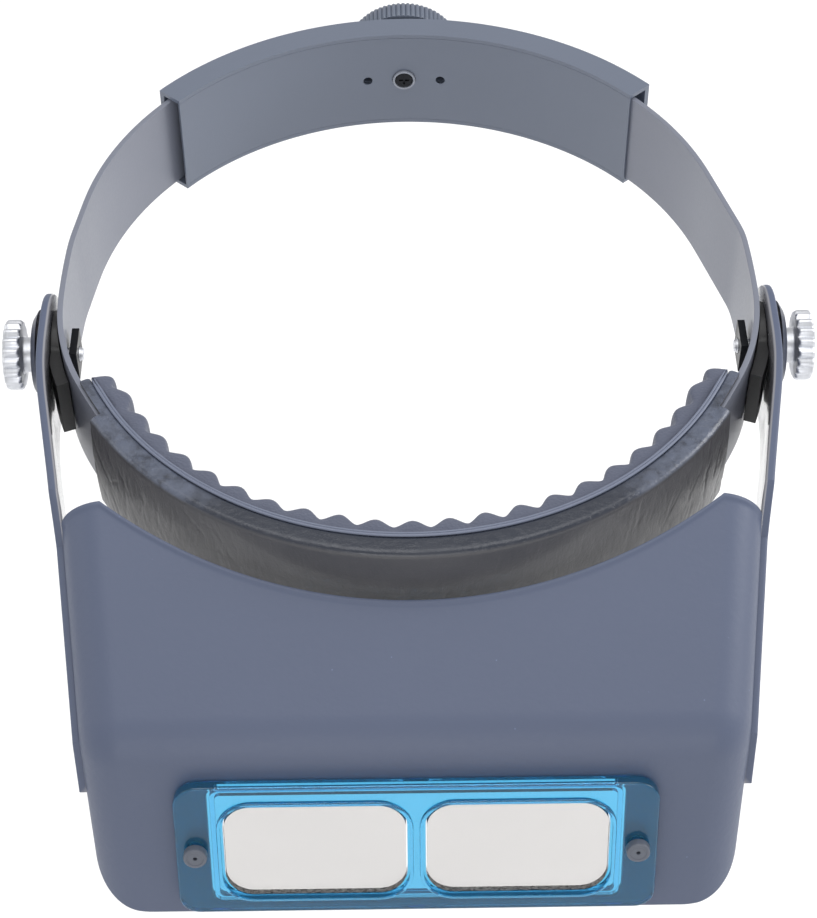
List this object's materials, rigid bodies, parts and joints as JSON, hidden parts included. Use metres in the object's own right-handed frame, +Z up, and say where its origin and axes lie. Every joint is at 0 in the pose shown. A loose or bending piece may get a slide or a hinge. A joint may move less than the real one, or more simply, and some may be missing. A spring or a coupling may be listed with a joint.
{
  "type": "head visor magnifier",
  "caption": "Padded headband with a geared rear size knob and a tilting visor hood that carries a removable twin-lens plate.",
  "frame": {"origin": "midway between the two tilt pivots, on their common axis", "axes": "+X to the wearer's left across the head, +Y to the back of the head, +Z up when worn level"},
  "size_m": [0.2174, 0.2713, 0.0803],
  "materials": {
    "grey_abs": "fine spark-eroded texture",
    "strap_plastic": "smooth satin sheet",
    "black_nylon": "moulded",
    "black_rubber": "matt",
    "steel": "zinc plated",
    "aluminium": "turned",
    "leatherette": "creased, half gloss",
    "foam": "fine-celled foam",
    "blue_acrylic": "polished, see-through",
    "clear_acrylic": "polished lens"
  },
  "bodies": {
    "band": {"front_strap": "strap_plastic", "sweatband_cover": "leatherette", "foam_pad": "foam", "pivot_block_left": "black_nylon", "pivot_block_right": "black_nylon", "square_nut_left": "steel", "square_nut_right": "steel"},
    "tail_left": {"strap_tail_left": "strap_plastic"},
    "tail_right": {"strap_tail_right": "strap_plastic"},
    "housing": {"housing_outer_cover": "grey_abs", "housing_inner_cover": "grey_abs"},
    "knob": {"adjuster_pinion": "black_nylon", "knob_screw": "steel", "rear_knob": "grey_abs", "knob_spring_washer": "steel"},
    "visor": {"visor_hood": "grey_abs", "soft_washer_left": "black_rubber", "soft_washer_right": "black_rubber"},
    "clamp_left": {"cup_washer_left": "grey_abs"},
    "clamp_right": {"cup_washer_right": "grey_abs"},
    "screw_left": {"thumbscrew_left": "aluminium"},
    "screw_right": {"thumbscrew_right": "aluminium"},
    "lens_plate": {"lens_frame": "blue_acrylic", "lens_left": "clear_acrylic", "lens_right": "clear_acrylic"},
    "rivet_left": {"snap_rivet_left": "grey_abs"},
    "rivet_right": {"snap_rivet_right": "grey_abs"}
  },
  "joints": [
    {"name": "band_size", "type": "slide", "parent": "band", "child": "housing", "axis": [0, 1, 0], "range_m": [-0.0125, 0.0125]},
    {"name": "tail_left_swing", "type": "hinge", "parent": "band", "child": "tail_left", "pos_m": [-0.0921, 0.029, 0], "axis": [0, 0, 1], "range_deg": [-7.9, 7.9]},
    {"name": "tail_right_swing", "type": "hinge", "parent": "band", "child": "tail_right", "pos_m": [0.0921, 0.029, 0], "axis": [0, 0, 1], "range_deg": [-7.9, 7.9]},
    {"name": "knob_turn", "type": "hinge", "parent": "housing", "child": "knob", "pos_m": [0, 0.12, 0], "axis": [0, 1, 0], "range_deg": [-118, 118]},
    {"name": "visor_tilt", "type": "hinge", "parent": "band", "child": "visor", "pos_m": [0, 0, 0], "axis": [-1, 0, 0], "range_deg": [-15, 70]},
    {"name": "clamp_left_slide", "type": "slide", "parent": "band", "child": "clamp_left", "axis": [-1, 0, 0], "range_m": [0, 0.0017]},
    {"name": "screw_left_turn", "type": "hinge", "parent": "clamp_left", "child": "screw_left", "pos_m": [-0.105, 0, 0], "axis": [-1, 0, 0], "range_deg": [0, 720]},
    {"name": "clamp_right_slide", "type": "slide", "parent": "band", "child": "clamp_right", "axis": [1, 0, 0], "range_m": [0, 0.0017]},
    {"name": "screw_right_turn", "type": "hinge", "parent": "clamp_right", "child": "screw_right", "pos_m": [0.105, 0, 0], "axis": [1, 0, 0], "range_deg": [0, 720]},
    {"name": "plate_off", "type": "slide", "parent": "visor", "child": "lens_plate", "axis": [0, -0.9617, 0.274], "range_m": [0, 0.025]},
    {"name": "rivet_left_out", "type": "slide", "parent": "lens_plate", "child": "rivet_left", "axis": [0, -0.9617, 0.274], "range_m": [0, 0.012]},
    {"name": "rivet_right_out", "type": "slide", "parent": "lens_plate", "child": "rivet_right", "axis": [0, -0.9617, 0.274], "range_m": [0, 0.012]}
  ],
  "couplings": [
    {"joint": "tail_left_swing", "follows": "band_size", "rad_per_m": 10.858},
    {"joint": "tail_right_swing", "follows": "band_size", "rad_per_m": -10.858},
    {"joint": "knob_turn", "follows": "band_size", "rad_per_m": 163},
    {"joint": "clamp_left_slide", "follows": "screw_left_turn", "m_per_rad": 0.00012732},
    {"joint": "clamp_right_slide", "follows": "screw_right_turn", "m_per_rad": 0.00012732}
  ]
}
